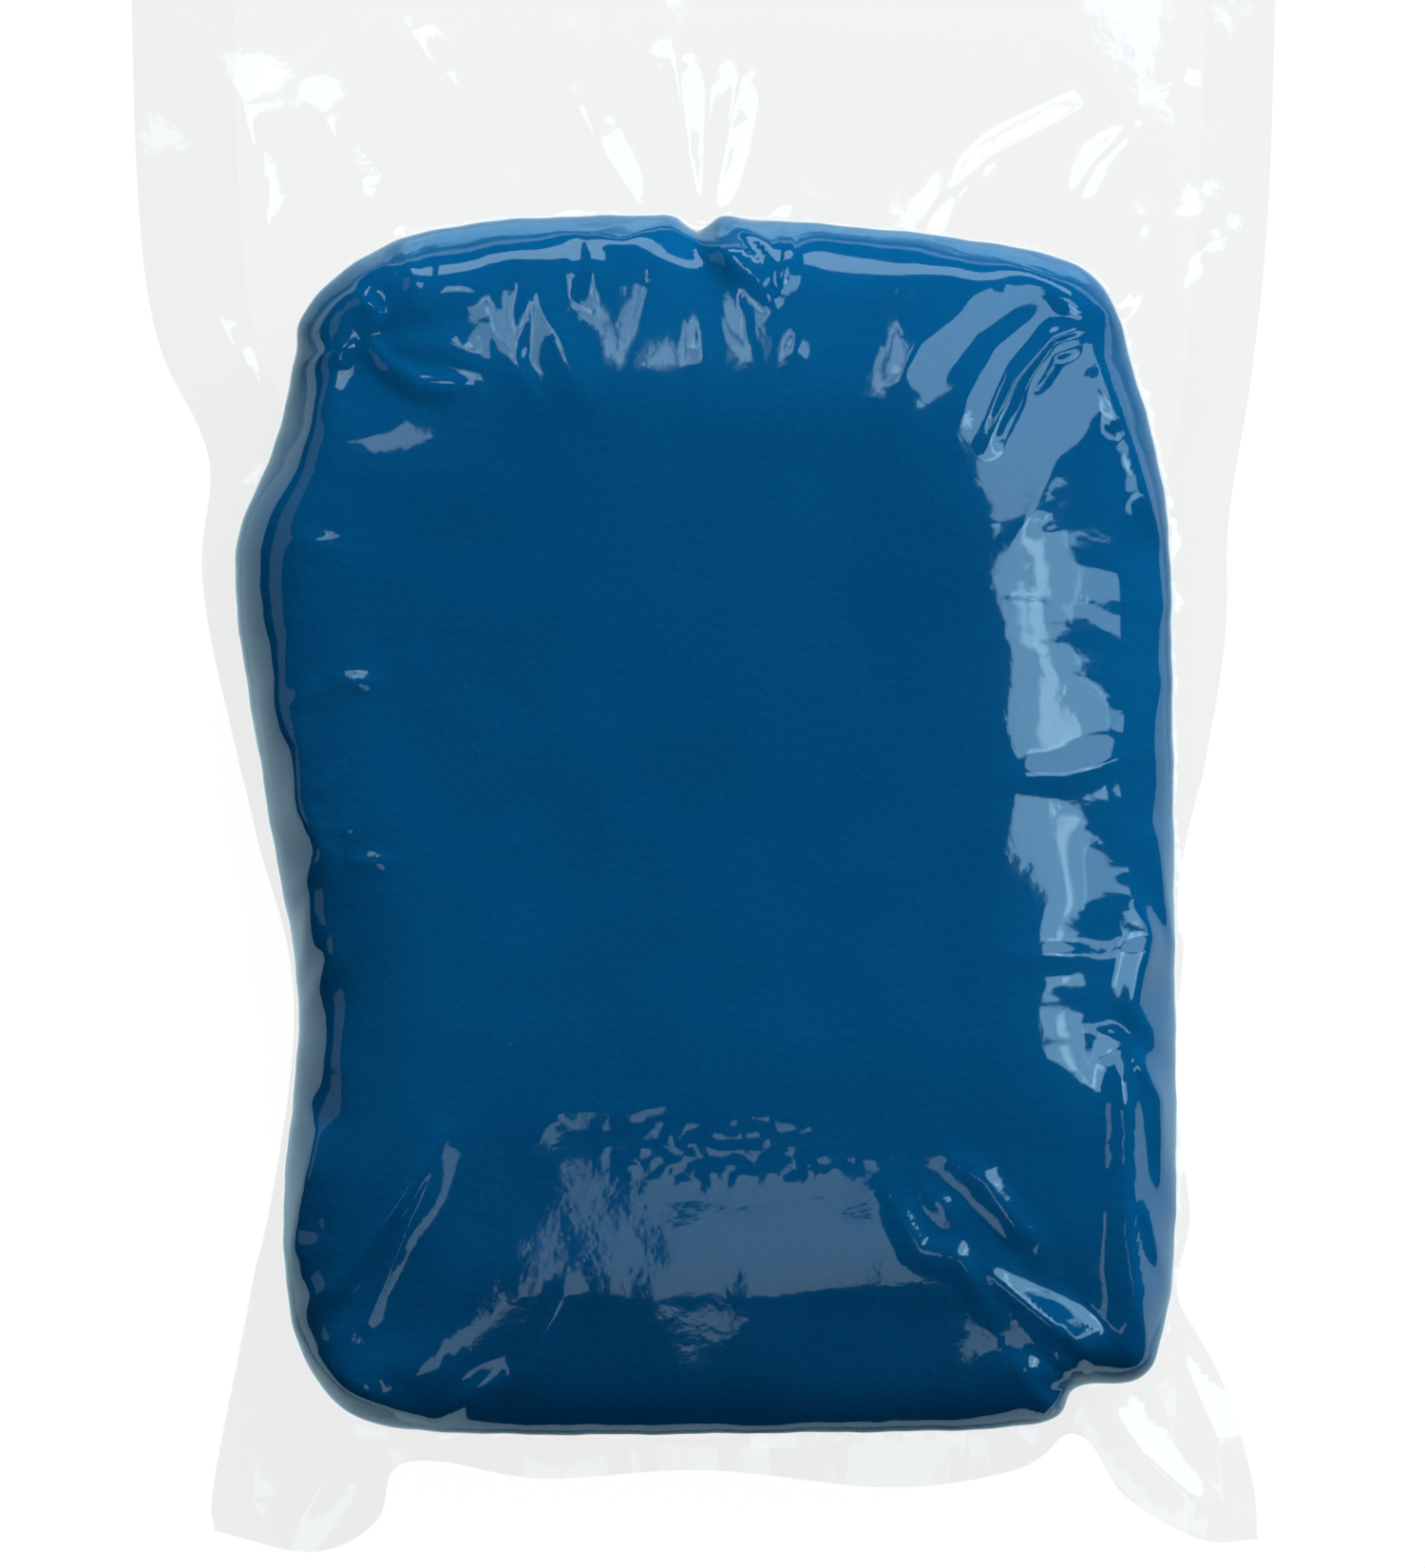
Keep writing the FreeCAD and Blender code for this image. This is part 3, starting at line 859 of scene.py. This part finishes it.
def softbox(name, target, azimuth, from_vertical, distance, width, height, radiance, colour):
    """A rectangular light that faces a point. Azimuth 0 is towards +X and 90 towards +Y."""
    turn, tilt = math.radians(azimuth), math.radians(from_vertical)
    direction = Vector((math.sin(tilt) * math.cos(turn), math.sin(tilt) * math.sin(turn), math.cos(tilt)))
    light = bpy.data.lights.new(name, "AREA")
    light.shape = "RECTANGLE"
    light.size, light.size_y = width, height
    light.energy = radiance * math.pi * width * height
    light.color = colour
    lamp = bpy.data.objects.new(name, light)
    lamp.location = Vector(target) * MM + direction * distance
    lamp.rotation_euler = direction.to_track_quat("Z", "Y").to_euler()
    bpy.context.scene.collection.objects.link(lamp)
    return lamp


WHITE, COOL, PALE = (1, 1, 1), (0.72, 0.89, 1.0), (0.80, 0.91, 1.0)

# Each softbox: its name, the point that it faces in millimetres, its azimuth and its angle from the
# vertical in degrees, its distance, width and height in metres, its radiance and its colour. All but
# the last, which lights the clay, are there for the glints that they make on the film.
SOFTBOXES = [
    ("front_box", (12, -46, 14), -90, 19.5, 0.5, 0.060, 0.165, 1.0, WHITE),
    ("right_box", (31, 7, 14), 0, 21, 0.5, 0.110, 0.17, 3.4, COOL),
    ("upper_right_box", (33, 25, 14), 0, 39, 0.5, 0.05, 0.16, 2.8, COOL),
    ("right_window", (32, 12, 14), 0, 22, 0.5, 0.090, 0.03, 2.6, WHITE),
    ("corner_box", (32, 20, 14), 35, 27, 0.5, 0.16, 0.22, 2.6, PALE),
    ("star_box", (4, 34, 14), 118, 19, 0.6, 0.07, 0.12, 1.7, WHITE),
    ("top_box", (-24, 30, 14), 90, 20, 0.6, 0.03, 0.14, 2.2, WHITE),
    ("pucker_box", (-57, 0, 14), 90, 28, 0.5, 0.04, 0.09, 2.5, WHITE),
    ("header_box", (-30, 50, 8), 90, 14, 0.6, 0.07, 0.08, 0.6, WHITE),
    ("sheen_box", (0, 0, 10), 80, 65, 1.0, 1.0, 0.35, 2.8, WHITE),
    ("left_box", (-36, 0, 12), 170, 62, 0.6, 0.5, 0.25, 0.35, WHITE),
    ("key_box", (0, 0, 10), 62, 63, 1.0, 1.0, 0.5, 13.6, WHITE),
]
WORLD_STRENGTH = 0.12


def lighting():
    """The softboxes, of which the last, the key light, makes no glints, and a dim even world."""
    lamps = [softbox(*values) for values in SOFTBOXES]
    lamps[-1].visible_glossy = False
    world = bpy.data.worlds.new("studio")
    world.use_nodes = True
    background = world.node_tree.nodes["Background"]
    background.inputs["Color"].default_value = (1, 1, 1, 1)
    background.inputs["Strength"].default_value = WORLD_STRENGTH
    bpy.context.scene.world = world
    world.cycles_visibility.glossy = False


EYE_X, EYE_Y, EYE_DISTANCE, FRAME_HEIGHT = 0.7, -8.0, 0.6, 0.136


def camera():
    """Straight above the bar, framed as the photograph is."""
    view = bpy.data.cameras.new("camera")
    view.sensor_fit = "VERTICAL"
    view.angle = 2 * math.atan(FRAME_HEIGHT / 2 / EYE_DISTANCE)
    eye = bpy.data.objects.new("camera", view)
    eye.location = (EYE_X * MM, EYE_Y * MM, WELD * MM + EYE_DISTANCE)
    bpy.context.scene.collection.objects.link(eye)
    bpy.context.scene.camera = eye


floor()
lighting()
camera()
bpy.context.scene.view_settings.view_transform = "Standard"
